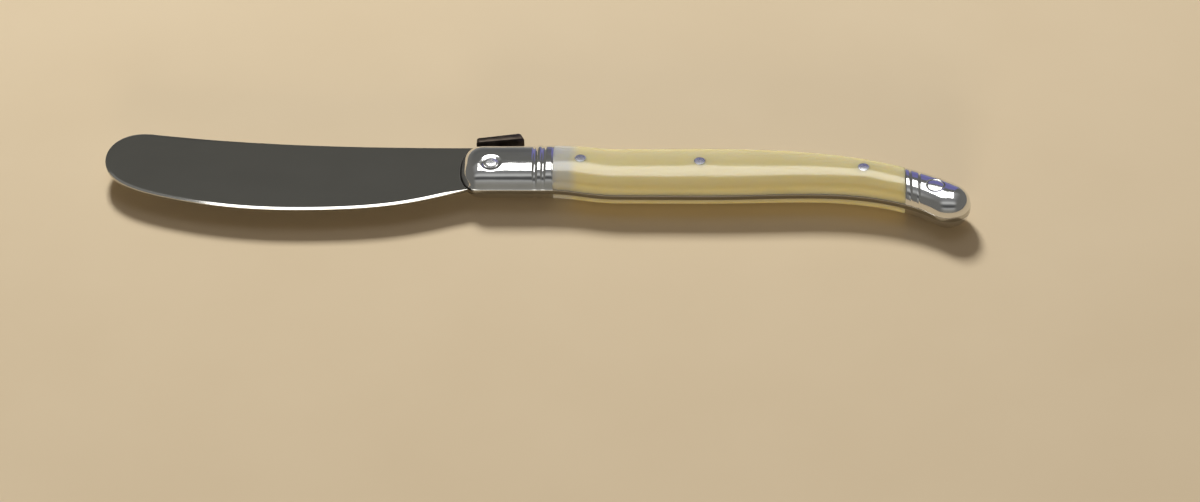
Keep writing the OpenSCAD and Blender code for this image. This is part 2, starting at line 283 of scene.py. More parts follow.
def sine(value):
    return value.math("SINE") if isinstance(value, Value) else math.sin(value)


def cosine(value):
    return value.math("COSINE") if isinstance(value, Value) else math.cos(value)


def ease(u):
    """A smooth step from 0 to 1."""
    u = at_most(at_least(u, 0), 1)
    return u * u * (3 - 2 * u)


def share(value, start, length):
    """How far a value has gone through one stretch, from 0 to 1."""
    return at_most(at_least((value - start) / length, 0), 1)


def narrowed(reach, power):
    """What is left of a section's size where a rounded end has gone a share of its reach."""
    return at_least(1 - at_least(reach, 0) ** power, 0) ** (1 / power)


def narrowing(turn, power):
    """The same, at an angle of 0 to 90 degrees."""
    return narrowed(sine(turn), power)


def leaning(reach, rise, lean):
    """A rounded form's reach, both from 0 to 1, changed so that it leans in near its foot."""
    return reach * (1 - lean) + at_least(1 - rise, 0) ** LEAN_POWER * lean


# The handle's middle line, half width and tilt at a distance from the nose
def middle_y(x):
    sink = ease((x - JOINT_X) / (SCALE_L * SINK_SHARE))
    bend = at_least((x - BEND_X) / (BEAK_X - BEND_X), 0) ** BEND_POWER
    return -SWELL_DROP * sink - BEAK_DROP * bend


def half_width(x):
    return (
        BOLSTER_W / 2
        + (NECK_W - BOLSTER_W) / 2 * ease((x - JOINT_X) / (NECK_X - JOINT_X))
        + (SWELL_W - NECK_W) / 2 * ease((x - NECK_X) / (SWELL_X - NECK_X))
        + (WAIST_W - SWELL_W) / 2 * ease((x - SWELL_X) / (WAIST_X - SWELL_X))
        + (BEAK_D - WAIST_W) / 2 * ease((x - WAIST_X) / (BEAK_X - WAIST_X))
    )


def tilt(x):
    return BEAK_ANGLE * at_least((x - REAR_JOINT_X) / (BEAK_X - REAR_JOINT_X), 0) ** TILT_POWER


def handle_place(node):
    """A pin's or rivet's middle, measured from the nose."""
    middle = middle_of(node)
    return middle.x - NOSE_X, middle.y - NOSE_Y


SCALE_PINS = ("scale_pin_front", "scale_pin_middle", "scale_pin_rear")
PIN_PLACES = [handle_place(node) for node in SCALE_PINS]
FRONT_RIVET_PLACE = handle_place("front_bolster_rivet")
REAR_RIVET_PLACE = handle_place("rear_bolster_rivet")


# Ring grooves
def pointed(u):
    """A step from 0 to 1 that ends in a sharp point."""
    return at_least(u, 0) ** 2


def grooves_depth(from_joint, grooves, form):
    """How deep a bolster's ring grooves are, at a distance from the scales."""
    depth = 0
    for place, half_w, deepest in grooves:
        depth = depth + deepest * form(1 - (from_joint - place).math("ABSOLUTE") / half_w)
    return depth


# Stations along each cover. Each gives x, y, half width, thickness above the tang, and tilt.
def front_station(index):
    nose = share(index, 0, NOSE_STEPS)
    body = share(index, NOSE_STEPS, BODY_STEPS)
    rings = share(index, NOSE_STEPS + BODY_STEPS, RING_STEPS)
    turn = (1 - nose) * (PI / 2)
    reach = leaning(sine(turn), cosine(turn), NOSE_LEAN)
    x = NOSE_L * (1 - reach) + (JOINT_X - FRONT_RINGS_L - NOSE_L) * body + FRONT_RINGS_L * rings
    groove = grooves_depth(JOINT_X - x, FRONT_GROOVES, ease)
    first, first_half_w, _ = FRONT_GROOVES[0]
    relief = BODY_RELIEF * ease((JOINT_X - x - first + first_half_w) / first_half_w)
    half_w = BOLSTER_W / 2 * narrowed(reach, NOSE_POWER) - groove * FLANK_SHARE
    thick = (COVER_T - relief) * narrowing(turn, 2) - groove
    return x, 0, half_w, thick, 0


def scale_station(index):
    go = share(index, 0, SCALE_STEPS)
    x = JOINT_X + SCALE_L * (go - END_CROWDING / (2 * PI) * sine(2 * PI * go))
    from_end = at_most(at_most(x - JOINT_X, REAR_JOINT_X - x) / SCALE_EDGE_R, 1)
    rounding = SCALE_EDGE_R * (1 - at_least(1 - (1 - from_end) ** 2, 0) ** 0.5)
    return x, middle_y(x), half_width(x) - rounding, COVER_T - rounding, 0


def rear_station(index):
    rings = share(index, 0, RING_STEPS)
    body = share(index, RING_STEPS, REAR_BODY_STEPS)
    turn = share(index, RING_STEPS + REAR_BODY_STEPS, BEAK_STEPS) * (PI / 2)
    from_joint = REAR_RINGS_L * rings + (BEAK_X - REAR_JOINT_X - REAR_RINGS_L) * body
    x = REAR_JOINT_X + from_joint
    groove = grooves_depth(from_joint, REAR_GROOVES, pointed)
    rise = narrowing(turn, BEAK_POWER)
    reach = leaning(sine(turn), rise, REAR_LEAN)
    half_w = half_width(x) * narrowed(reach, 2) - groove * FLANK_SHARE
    thick = COVER_T * rise - groove
    return (
        x + reach * (BEAK_D / 2 * math.cos(BEAK_ANGLE)),
        middle_y(x) - reach * (BEAK_D / 2 * math.sin(BEAK_ANGLE)),
        half_w,
        thick,
        tilt(x),
    )


# What each cover's surface is pressed down by, at a place on the cheek
def distance_from(place, x, y):
    return ((x - place[0]) ** 2 + (y - place[1]) ** 2) ** 0.5


def head_groove(r, radius):
    """A fine groove at the edge of a rivet's head, at a distance from its middle."""
    return HEAD_GROOVE_DEPTH * (-(((r - radius) / HEAD_GROOVE_W) ** 2)).math("EXPONENT")


def front_press(x, y):
    """The dimple round the front rivet, with a soft rim and a groove at the rivet's head."""
    r = distance_from(FRONT_RIVET_PLACE, x, y)
    deep = DIMPLE_DEPTH * (1 - (r / DIMPLE_R) ** 2)
    dimple = (deep + (deep * deep + DIMPLE_SOFTNESS ** 2) ** 0.5) / 2
    return dimple + head_groove(r, DOME_R)


def rear_press(x, y):
    """The groove at the edge of the rear rivet's head."""
    return head_groove(distance_from(REAR_RIVET_PLACE, x, y), REAR_HEAD_D / 2)


def scale_press(x, y):
    """The scales are polished a little lower between the pins than at the pins."""
    crests = 0
    for place in PIN_PLACES:
        crests = crests + (-((distance_from(place, x, y) / CREST_R) ** 2)).math("EXPONENT")
    return CREST_H * (1 - at_most(crests, 1))


# Geometry trees
def new_tree(name, inputs):
    """A geometry tree with named inputs and one geometry output."""
    tree = bpy.data.node_groups.new(name, "GeometryNodeTree")
    tree.interface.new_socket(name="Shape", in_out="INPUT", socket_type="NodeSocketGeometry")
    tree.interface.new_socket(name="Shape", in_out="OUTPUT", socket_type="NodeSocketGeometry")
    for label, kind in inputs.items():
        tree.interface.new_socket(name=label, in_out="INPUT", socket_type="NodeSocket" + kind)
    maker = Maker(tree)
    entry = maker.node("NodeGroupInput")
    sockets = {label: Value(maker, entry.outputs[label]) for label in ["Shape", *inputs]}
    return maker, sockets


def position(maker):
    """The X, Y and Z of each vertex."""
    return maker.parts(maker.value("GeometryNodeInputPosition"))


def moved(maker, shape, x, y, z):
    """A shape with its vertices at other places."""
    return maker.value(
        "GeometryNodeSetPosition", {"Geometry": shape, "Position": maker.vector(x, y, z)}
    )


def realized(maker, shape):
    return maker.value("GeometryNodeRealizeInstances", {0: shape})


def on_points(maker, points, shape):
    """A copy of a shape at each point."""
    copies = maker.value("GeometryNodeInstanceOnPoints", {"Points": points, "Instance": shape})
    return realized(maker, copies)


def shape_of(maker, given):
    """The shape of an object that a tree is given."""
    return maker.value(
        "GeometryNodeObjectInfo", {"Object": given}, {"transform_space": "RELATIVE"}, "Geometry"
    )


def cylinder(maker, radius, length):
    return maker.value(
        "GeometryNodeMeshCylinder", {"Vertices": PIN_SIDES, "Radius": radius, "Depth": length}
    )


def close_tree(maker, shape, material):
    """Ends a tree: doubles merged, sharp edges marked, instances realized, the material set."""
    merged = maker.value(
        "GeometryNodeMergeByDistance", {"Geometry": shape, "Distance": MERGE_DISTANCE}
    )
    turn = maker.value("GeometryNodeInputMeshEdgeAngle", output="Unsigned Angle")
    smooth_edge = turn.math("LESS_THAN", SHARP_ANGLE)
    faces = maker.value("GeometryNodeSetShadeSmooth", {0: merged, 2: True}, {"domain": "FACE"})
    edges = maker.value(
        "GeometryNodeSetShadeSmooth", {0: faces, 2: smooth_edge}, {"domain": "EDGE"}
    )
    finished = maker.value(
        "GeometryNodeSetMaterial", {"Geometry": realized(maker, edges), "Material": material}
    )
    maker.node("NodeGroupOutput", {0: finished})


def cover_tree(name, station, press, steps, power, lean_share):
    """A half cover of the handle: a grid that is wrapped round the sections at its stations.

    One more column at each end closes it. The lean share is the part of the half width by which
    the flanks lean in."""
    maker, given = new_tree(name, {"Side": "Float", "Material": "Material"})
    columns = steps + 3
    grid = maker.value(
        "GeometryNodeMeshGrid",
        {"Size X": 1, "Size Y": 1, "Vertices X": columns, "Vertices Y": RING_ROWS},
    )
    gx, gy, _ = position(maker)
    column = ((gx + 0.5) * (columns - 1)).math("ROUND")
    index = at_most(at_least(column - 1, 0), steps)
    open_share = at_most(at_most(column, columns - 1 - column), 1)
    x, y, half_w, thick, lean = station(index)
    around = gy + 0.5
    turn = at_most(around / CHEEK_SHARE, 1) * PI
    back = 2 * share(around, CHEEK_SHARE, 1 - CHEEK_SHARE)
    level = cosine(turn)
    rise = at_least(sine(turn), 0) ** (2 / power)
    rounded = level.math("ABSOLUTE") ** (2 / power)
    curved = level.math("SIGN") * leaning(rounded, rise, lean_share)
    across = (half_w - TANG_PROUD) * (curved + back) * open_share
    centre = thick * CLOSING_SHARE
    up = centre + (thick * rise - centre) * open_share
    px = across * sine(lean) + x
    py = across * cosine(lean) + y
    pressed = up - press(px, py) * at_most(up / (PRESS_FADE_SHARE * COVER_T), 1)
    pz = MIDDLE_Z + given["Side"] * (TANG_HALF_T + pressed)
    close_tree(maker, moved(maker, grid, px + NOSE_X, py + NOSE_Y, pz), given["Material"])
    return maker.tree


def drill_tree(name):
    """Cuts a round hole through a shape at each point of another object."""
    maker, given = new_tree(name, {"Places": "Object", "Radius": "Float", "Material": "Material"})
    points = shape_of(maker, given["Places"])
    drills = on_points(maker, points, cylinder(maker, given["Radius"], DRILL_L))
    cut = maker.value(
        "GeometryNodeMeshBoolean", {"Mesh 1": given["Shape"], "Mesh 2": drills},
        {"operation": "DIFFERENCE", "solver": "EXACT"},
    )
    close_tree(maker, cut, given["Material"])
    return maker.tree


def pin_tree(name, follows_surface):
    """Pins or rivets at the points of another object, each a shank with a head at both ends.

    A flush head takes its height from the cover's surface. A domed one stands at a given height."""
    maker, given = new_tree(
        name,
        {"Places": "Object", "Cover": "Object", "Head Radius": "Float", "Head Height": "Float",
         "Crown": "Float", "Crown Power": "Float", "Top": "Float", "Shank Radius": "Float",
         "Material": "Material"},
    )
    points = shape_of(maker, given["Places"])
    head = maker.value(
        "GeometryNodeMeshCylinder",
        {"Vertices": PIN_SIDES, "Side Segments": 1, "Fill Segments": PIN_RINGS,
         "Radius": given["Head Radius"], "Depth": 1},
        {"fill_type": "TRIANGLE_FAN"},
    )
    hx, hy, hz = position(maker)
    out = (hx * hx + hy * hy) ** 0.5 / given["Head Radius"]
    is_top = hz.math("GREATER_THAN", 0)
    crowned = is_top * (1 - given["Crown"] * out ** given["Crown Power"]) + (1 - is_top) * -1
    heads = on_points(maker, points, moved(maker, head, hx, hy, crowned))
    rx, ry, rz = position(maker)
    on_top = rz.math("GREATER_THAN", 0)
    if follows_surface:
        ray = maker.node(
            "GeometryNodeRaycast",
            {"Target Geometry": shape_of(maker, given["Cover"]),
             "Source Position": maker.vector(rx, ry, 1),
             "Ray Direction": (0, 0, -1), "Ray Length": 2},
        )
        surface = maker.parts(ray.outputs["Hit Position"])[2]
    else:
        surface = given["Top"]
    seat = at_least(surface - given["Head Height"], MIDDLE_Z)
    raised = moved(maker, heads, rx, ry, on_top * (surface + rz - 1) + (1 - on_top) * seat)
    mx, my, mz = position(maker)
    mirrored = maker.value(
        "GeometryNodeFlipFaces", {0: moved(maker, raised, mx, my, 2 * MIDDLE_Z - mz)}
    )
    middles = maker.value(
        "GeometryNodeSetPosition", {"Geometry": points, "Offset": (0, 0, MIDDLE_Z)}
    )
    shanks = on_points(maker, middles, cylinder(maker, given["Shank Radius"], SHANK_L))
    whole = maker.value(
        "GeometryNodeMeshBoolean", {"Mesh 2": [raised, mirrored, shanks]},
        {"operation": "UNION", "solver": "EXACT"},
    )
    close_tree(maker, whole, given["Material"])
    return maker.tree


# Objects
def link(piece):
    bpy.context.scene.collection.objects.link(piece)
    return piece


def recalculate(mesh):
    """Merges doubles and turns every face outwards."""
    shape = bmesh.new()
    shape.from_mesh(mesh)
    bmesh.ops.remove_doubles(shape, verts=shape.verts, dist=MERGE_DISTANCE / 4)
    bmesh.ops.recalc_face_normals(shape, faces=shape.faces)
    shape.to_mesh(mesh)
    shape.free()


def settled(piece):
    """Turns a piece's modifiers into a plain mesh."""
    bpy.context.view_layer.update()
    graph = bpy.context.evaluated_depsgraph_get()
    mesh = bpy.data.meshes.new_from_object(piece.evaluated_get(graph), depsgraph=graph)
    piece.modifiers.clear()
    old = piece.data
    piece.data = mesh
    bpy.data.meshes.remove(old)
    recalculate(mesh)
    mesh.name = piece.name
    return piece


def grown(piece, tree, values):
    """Runs a geometry tree on a piece and keeps the result as a plain mesh."""
    modifier = piece.modifiers.new("form", "NODES")
    modifier.node_group = tree
    for item in tree.interface.items_tree:
        if item.item_type == "SOCKET" and item.in_out == "INPUT" and item.name in values:
            modifier[item.identifier] = values[item.name]
    return settled(piece)


def joined(piece, other):
    """A piece after a union with another one, which is then removed."""
    modifier = piece.modifiers.new("join", "BOOLEAN")
    modifier.operation = "UNION"
    modifier.solver = "EXACT"
    modifier.object = other
    settled(piece)
    bpy.data.objects.remove(other)
    return piece


def new_piece(name):
    return link(bpy.data.objects.new(name, bpy.data.meshes.new(name)))


def helper_points(name, places):
    """A helper object with one point at each place on the handle."""
    mesh = bpy.data.meshes.new(name)
    mesh.from_pydata([(x + NOSE_X, y + NOSE_Y, 0) for x, y in places], [], [])
    return link(bpy.data.objects.new(name, mesh))


# Materials
# The painted shade round the nose, where the bolster meets the blade: where it ends and its soft
# edge, then where it sets in beside the nose and over what length, all as shares of the nose's size
NOSE_SHADE_SHARES = (1.05, 0.03)
NOSE_SHADE_START_SHARES = (0.3, 0.2)
# The blade's tiny pits: cells to a metre, the chance that a cell has none, and a pit's radius and
# soft edge as shares of a cell
PIT_CELLS = 320
PIT_FREE = 0.985
PIT_SHARES = (0.04, 0.05)
# The painted grey of the front bolster's steel seen through the scales, in millimetres from the front
# bolster: where it starts to clear, over what length, and how far that wanders
SEE_THROUGH_START = 2.6
SEE_THROUGH_RUN = 2.4
SEE_THROUGH_WANDER = 4
# How high up the scales the painted shade at their foot reaches, as a share of their thickness
FOOT_SHADE_SHARE = 0.4


def new_material(name, settings):
    """A material with one Principled shader, its fixed values set on its own sockets."""
    material = bpy.data.materials.new(name)
    material.use_nodes = True
    material.node_tree.nodes.clear()
    maker = Maker(material.node_tree)
    shader = maker.node("ShaderNodeBsdfPrincipled", settings)
    maker.node("ShaderNodeOutputMaterial", {"Surface": shader.outputs[0]})
    place = maker.node("ShaderNodeTexCoord").outputs["Object"]
    return material, maker, shader, place


def noise(maker, place, stretch, detail=3, roughness=0.5):
    """Noise whose scale is set apart along X, Y and Z."""
    mapped = maker.value("ShaderNodeMapping", {"Vector": place, "Scale": stretch})
    return maker.value(
        "ShaderNodeTexNoise",
        {"Vector": mapped, "Scale": 1, "Detail": detail, "Roughness": roughness},
        output="Fac",
    )


def mixed(maker, factor, first, second):
    """A mix of two colours."""
    return maker.node(
        "ShaderNodeMix", {0: factor, 6: first, 7: second}, {"data_type": "RGBA"}
    ).outputs[2]


def bumped(maker, shader, height, distance):
    made = maker.node("ShaderNodeBump", {"Strength": 1, "Distance": distance, "Height": height})
    maker.link(made.outputs[0], shader.inputs["Normal"])


def colour(red, green, blue):
    """An sRGB colour of 0 to 255 as linear values."""
    def linear(level):
        level = level / 255
        return level / 12.92 if level <= 0.04045 else ((level + 0.055) / 1.055) ** 2.4
    return linear(red), linear(green), linear(blue), 1


def blade_steel():
    """Satin steel with fine grinding lines, a few tiny pits and painted shade round the nose."""
    material, maker, shader, place = new_material("blade_steel", {"Metallic": 1})
    lines = noise(maker, place, (300, 9000, 4000), 4, 0.7)
    clouds = noise(maker, place, (90, 160, 160))
    cells = maker.node(
        "ShaderNodeTexVoronoi", {"Vector": place, "Scale": PIT_CELLS, "Randomness": 1},
        {"feature": "F1"},
    )
    chance = maker.parts(cells.outputs["Color"])[0]
    near = 1 - share(Value(maker, cells.outputs["Distance"]), *PIT_SHARES)
    pits = near * chance.math("GREATER_THAN", PIT_FREE)
    x, y, z = maker.parts(place)
    ahead = at_least((NOSE_X + NOSE_L - x) / NOSE_L, 0)
    across = (y - NOSE_Y).math("ABSOLUTE") / (BOLSTER_W / 2)
    from_nose = (ahead ** NOSE_POWER + across ** NOSE_POWER) ** (1 / NOSE_POWER)
    on_cheek = share((z - MIDDLE_Z).math("ABSOLUTE"), BLADE_HALF_T / 2, BLADE_HALF_T / 4)
    # Painted shade: the cheek is darkened beside the bolster's nose, where the bolster meets the blade
    nose_shade = (1 - share(from_nose, *NOSE_SHADE_SHARES)) * share(ahead, *NOSE_SHADE_START_SHARES) * on_cheek
    tone = mixed(maker, clouds * 0.5 + lines * 0.5, colour(178, 176, 170), colour(194, 192, 186))
    tone = mixed(maker, pits, tone, (0.9, 0.9, 0.88, 1))
    maker.link(mixed(maker, nose_shade, tone, colour(38, 36, 33)), shader.inputs["Base Color"])
    maker.link(0.055 + 0.04 * lines + 0.02 * clouds + 0.2 * pits + 0.3 * nose_shade,
               shader.inputs["Roughness"])
    bumped(maker, shader, lines + pits * 3, 0.0006 * MM)
    return material


def chrome():
    """Polished metal with a faint waviness and hairline scratches."""
    material, maker, shader, place = new_material("chrome", {"Metallic": 1})
    waves = noise(maker, place, (260, 420, 420), 2)
    hairs = noise(maker, place, (900, 14000, 9000), 3, 0.6)
    tone = mixed(maker, waves, (0.70, 0.70, 0.69, 1), (0.80, 0.80, 0.79, 1))
    maker.link(tone, shader.inputs["Base Color"])
    maker.link(0.045 + 0.05 * hairs + 0.03 * waves, shader.inputs["Roughness"])
    bumped(maker, shader, waves + hairs * 0.01, 0.03 * MM)
    return material


def scale_plastic():
    """Pale horn-like plastic, polished and a little translucent.

    It has a painted grey beside the front bolster and painted shade at its foot, next to the tang."""
    material, maker, shader, place = new_material(
        "scale_plastic",
        {"Subsurface Weight": 1, "Subsurface Radius": (1.0, 0.85, 0.5),
         "Subsurface Scale": 3 * MM, "IOR": 1.52, "Specular IOR Level": 0.65},
    )
    x, _, z = maker.parts(place)
    clouds = noise(maker, place, (60, 160, 160), 4)
    streaks = noise(maker, place, (120, 1500, 1500), 4, 0.6)
    body = mixed(maker, clouds * 0.6 + streaks * 0.4, colour(203, 192, 139), colour(213, 203, 155))
    # Painted see-through: beside the front bolster the scales are greyed, as if the bolster's steel
    # showed through
    reach = (x - (NOSE_X + JOINT_X)) / MM + (clouds - 0.5) * SEE_THROUGH_WANDER
    see_through = 1 - ease((reach - SEE_THROUGH_START) / SEE_THROUGH_RUN)
    tone = mixed(maker, see_through * 0.75, body, colour(174, 178, 182))
    # Painted shade: the scales are darkened towards their foot, next to the tang
    foot = 1 - ease(((z - MIDDLE_Z).math("ABSOLUTE") - TANG_HALF_T) / (COVER_T * FOOT_SHADE_SHARE))
    tone = mixed(maker, foot * 0.7, tone, colour(162, 151, 120))
    maker.link(tone, shader.inputs["Base Color"])
    maker.link(0.11 + 0.06 * streaks + 0.04 * clouds, shader.inputs["Roughness"])
    bumped(maker, shader, clouds + streaks * 0.05, 0.02 * MM)
    return material


def pin_steel():
    """Blue-grey steel, ground flush, with fine turning marks."""
    material, maker, shader, place = new_material("pin_steel", {"Metallic": 1})
    grain = noise(maker, place, (2500, 7000, 2500), 3, 0.6)
    tone = mixed(maker, grain, (0.44, 0.44, 0.46, 1), (0.60, 0.60, 0.62, 1))
    maker.link(tone, shader.inputs["Base Color"])
    maker.link(0.20 + 0.08 * grain, shader.inputs["Roughness"])
    bumped(maker, shader, grain, 0.002 * MM)
    return material


def rivet_metal(name, roughness):
    """Bright rivet metal, more or less polished."""
    material, maker, shader, place = new_material(name, {"Metallic": 1})
    waves = noise(maker, place, (500, 500, 500), 2)
    hairs = noise(maker, place, (1200, 12000, 6000), 3, 0.6)
    tone = mixed(maker, waves, (0.72, 0.72, 0.71, 1), (0.80, 0.80, 0.80, 1))
    maker.link(tone, shader.inputs["Base Color"])
    maker.link(roughness + 0.06 * hairs, shader.inputs["Roughness"])
    bumped(maker, shader, waves, 0.01 * MM)
    return material


def plate_metal():
    """Darkened steel with a brown cast and worn, brighter patches."""
    material, maker, shader, place = new_material("plate_metal", {"Metallic": 1})
    patches = noise(maker, place, (700, 900, 700), 4, 0.6)
    grain = noise(maker, place, (2000, 9000, 9000), 3, 0.6)
    tone = mixed(maker, patches, colour(40, 34, 30), colour(98, 88, 78))
    maker.link(tone, shader.inputs["Base Color"])
    maker.link(0.24 + 0.18 * patches, shader.inputs["Roughness"])
    bumped(maker, shader, patches + grain * 0.3, 0.008 * MM)
    return material


def floor_paint():
    """Plain pale paint with faint clouds."""
    material, maker, shader, place = new_material(
        "floor_paint", {"Specular IOR Level": 0.2, "Roughness": 0.7}
    )
    clouds = noise(maker, place, (30, 30, 30))
    tone = mixed(maker, clouds, colour(213, 196, 166), colour(220, 204, 175))
    maker.link(tone, shader.inputs["Base Color"])
    return material


BLADE_STEEL = blade_steel()
CHROME = chrome()
SCALE_PLASTIC = scale_plastic()
PIN_STEEL = pin_steel()
FRONT_RIVET_METAL = rivet_metal("front_rivet_metal", 0.24)
REAR_RIVET_METAL = rivet_metal("rear_rivet_metal", 0.1)
PLATE_METAL = plate_metal()

# The two halves of each cover
PIN_POINTS = helper_points("pin_points", PIN_PLACES)
FRONT_POINT = helper_points("front_point", [FRONT_RIVET_PLACE])
REAR_POINT = helper_points("rear_point", [REAR_RIVET_PLACE])
DRILL = drill_tree("drill")
FRONT_STEPS = NOSE_STEPS + BODY_STEPS + RING_STEPS
REAR_STEPS = RING_STEPS + REAR_BODY_STEPS + BEAK_STEPS
SIDES = {"upper": 1, "lower": -1}
COVERS = {
    "front_bolster": (
        front_station, front_press, FRONT_STEPS, FRONT_POWER, FRONT_LEAN, CHROME, "bolster"),
    "rear_bolster": (
        rear_station, rear_press, REAR_STEPS, REAR_POWER, REAR_LEAN, CHROME, "bolster"),
    "scale": (scale_station, scale_press, SCALE_STEPS, SCALE_POWER, 0, SCALE_PLASTIC, "scale"),
}
covers = {}
for part, (station, press, steps, power, lean, material, slot) in COVERS.items():
    tree = cover_tree(part + "_form", station, press, steps, power, lean)
    for side, sign in SIDES.items():
        piece = grown(new_piece(f"{part}_{side}_skin"), tree, {"Side": sign, "Material": material})
        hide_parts(f"{part}_{side}")
        covers[part, side] = piece

# Pins and rivets, then their holes
FLUSH_PIN = pin_tree("flush_pin", True)
DOMED_RIVET = pin_tree("domed_rivet", False)
DOME_TOP = SCALE_HIGH.z - BODY_RELIEF + DOME_TOP_RISE

scale_pins = grown(new_piece("scale_pins"), FLUSH_PIN, {
    "Places": PIN_POINTS, "Cover": covers["scale", "upper"], "Head Radius": PIN_D / 2,
    "Head Height": MIDDLE_Z, "Crown": PIN_CROWN, "Crown Power": 2, "Shank Radius": SHANK_R,
    "Material": PIN_STEEL})
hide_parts(*SCALE_PINS)

rear_rivet = grown(new_piece("rear_rivet"), FLUSH_PIN, {
    "Places": REAR_POINT, "Cover": covers["rear_bolster", "upper"], "Head Radius": REAR_HEAD_D / 2,
    "Head Height": REAR_HEAD_H, "Crown": HEAD_CROWN, "Crown Power": 2, "Shank Radius": SHANK_R,
    "Material": REAR_RIVET_METAL})
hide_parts("rear_bolster_rivet")

front_rivet = grown(new_piece("front_rivet"), DOMED_RIVET, {
    "Places": FRONT_POINT, "Head Radius": DOME_R, "Head Height": 2 * DOME_H,
    "Crown": DOME_H, "Crown Power": DOME_POWER, "Top": DOME_TOP, "Shank Radius": SHANK_R,
    "Material": FRONT_RIVET_METAL})
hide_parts("front_bolster_rivet")

HOLES = {
    "scale": (PIN_POINTS, PIN_D / 2 + FIT_GAP),
    "front_bolster": (FRONT_POINT, SHANK_R + FIT_GAP),
    "rear_bolster": (REAR_POINT, REAR_HEAD_D / 2 + FIT_GAP),
}
for (part, side), piece in covers.items():
    points, radius = HOLES[part]
    *_, material, slot = COVERS[part]
    grown(piece, DRILL, {"Places": points, "Radius": radius, "Material": material})

# The blade and the tang
BACK_STEP = 0.5 * MM
TIP_RISE = 4.05 * MM
BELLY_SAG = 5.1 * MM
# The points that draw the blade's curves, as shares of its length and of the rise between the two
# levels of each curve
BACK_SHARES = ((0.41, 0), (0.654, 0.387), (0.877, 1))
TIP_TOP_SHARES = ((0.958, 1.043), (1, 0.869), (1, 0.688))
TIP_LOW_SHARES = ((1, 0.366), (0.89, 0.249), (0.844, 0.198))
BELLY_SHARES = ((0.747, 0.603), (0.621, 1), (0.447, 1))
HEEL_SHARES = ((0.165, 1), (0.096, 0.407), (-0.033, -0.137))
CURVE_STEPS = 44
BACK_Y = BOLSTER_W / 2 + BACK_STEP
TIP_Y = BACK_Y + TIP_RISE
HEEL_Y = -BOLSTER_W / 2
BELLY_Y = HEEL_Y - BELLY_SAG
# The spine plate's ends, its foot's ends, and the gap round it
PLATE_X = PLATE_LOW.x - NOSE_X
PLATE_END_X = PLATE_HIGH.x - NOSE_X
PLATE_L = PLATE_HIGH.x - PLATE_LOW.x
FOOT_X = [PLATE_X + PLATE_L * part for part in (0.08, 0.92)]
PLATE_GAP = 0.03 * MM
SHOULDER_X = PLATE_X - PLATE_GAP
# The roll of the cheek's edge along the back and round the tip, and the bevel along the belly
BACK_ROLL = (1.5 * MM, 0.05 * MM)
TIP_ROLL = (0.9 * MM, 0.16 * MM)
# Where the back's roll starts to turn into the tip's, and over what share of the back
TIP_ROLL_START = 0.55
TIP_ROLL_RUN = 0.6
# The least width that is left of the roll, which keeps the edge's rings apart
LEAST_ROLL_W = 0.05 * MM
BEVEL_W = 0.56 * MM
BEVEL_FULL_SHARES = (0.2, 0.92)
# The bevel is a shallow facet, then a steep one down to the land at the very edge
FACET_SHARE = 0.93
FACET_SLOPE = 0.26
LAND_HALF_T = 0.04 * MM
# How much lower each cheek is at the belly, for each millimetre from the back
CHEEK_TAPER = 0.009
ROLL_STEPS = 7
NOSE_LIP = 0.2 * MM
TANG_EDGE = 0.13 * MM
TANG_EDGE_POWER = 0.4
TANG_EDGE_STEPS = 9
TANG_STEPS = 150
TANG_START_X = NOSE_L + 0.5 * MM
# How far round the tang's edge the last ring is: it stops just short of the middle
EDGE_TURN = PI / 2 * 0.98
# How far the rounded end stays inside the frame's box
BEAK_TRIM = TANG_PROUD / 8
NOTCH_DEPTH = 1.53 * MM
NOTCH_LIP = 0.01 * MM
# The part of the blade's plate that is hidden in the tang: how far it reaches in, how far it stays
# inside the tang's edges and below the notch, and its roll
HIDDEN_REACH = 1 * MM
HIDDEN_INSET = 0.6 * MM
HIDDEN_CLEARANCE = 0.2 * MM
HIDDEN_ROLL = (0.03 * MM, 0.01 * MM)
# Faces with more sides than this are flat and keep a sharp edge all round
FLAT_FACE_SIDES = 40


def bezier(points, u):
    """A point on a cubic curve."""
    a, b, c, d = points
    keep = 1 - u
    return a * keep ** 3 + b * (3 * u * keep ** 2) + c * (3 * u * u * keep) + d * u ** 3


def blade_curve(start, shares, low, high):
    """One stretch of the blade's outline, without its first point."""
    ends = [start] + [Vector((-s * BLADE_L, low + (high - low) * t)) for s, t in shares]
    return [bezier(ends, (i + 1) / CURVE_STEPS) for i in range(CURVE_STEPS)]


def cheek_height(y):
    """Half the blade's thickness at a distance from the middle line."""
    return BLADE_HALF_T - CHEEK_TAPER * (BACK_Y - y)


def blade_outline():
    """The blade from its shoulder along the back, round the tip and along the belly to the heel.

    Each point comes with the width and depth of the roll there, and how far the bevel has grown."""
    start = Vector((SHOULDER_X, BACK_Y))
    back = [start] + blade_curve(start, BACK_SHARES, BACK_Y, TIP_Y)
    top = blade_curve(back[-1], TIP_TOP_SHARES, BELLY_Y, TIP_Y)
    low = blade_curve(top[-1], TIP_LOW_SHARES, BELLY_Y, TIP_Y)
    belly = blade_curve(low[-1], BELLY_SHARES, HEEL_Y, BELLY_Y)
    heel = blade_curve(belly[-1], HEEL_SHARES, HEEL_Y, BELLY_Y)
    made = []
    for i, point in enumerate(back + top):
        to_tip = ease((i / CURVE_STEPS - TIP_ROLL_START) / TIP_ROLL_RUN)
        width, depth = (a + (b - a) * to_tip for a, b in zip(BACK_ROLL, TIP_ROLL))
        made.append((point, width, depth, 0))
    edge = low + belly + heel
    for i, point in enumerate(edge):
        u = (i + 1) / len(edge)
        fade = ease(u / BEVEL_FULL_SHARES[0]) * ease((1 - u) / (1 - BEVEL_FULL_SHARES[1]))
        roll = 1 - ease(u / BEVEL_FULL_SHARES[0])
        made.append((point, max(TIP_ROLL[0] * roll, LEAST_ROLL_W), TIP_ROLL[1] * roll, fade))
    return made


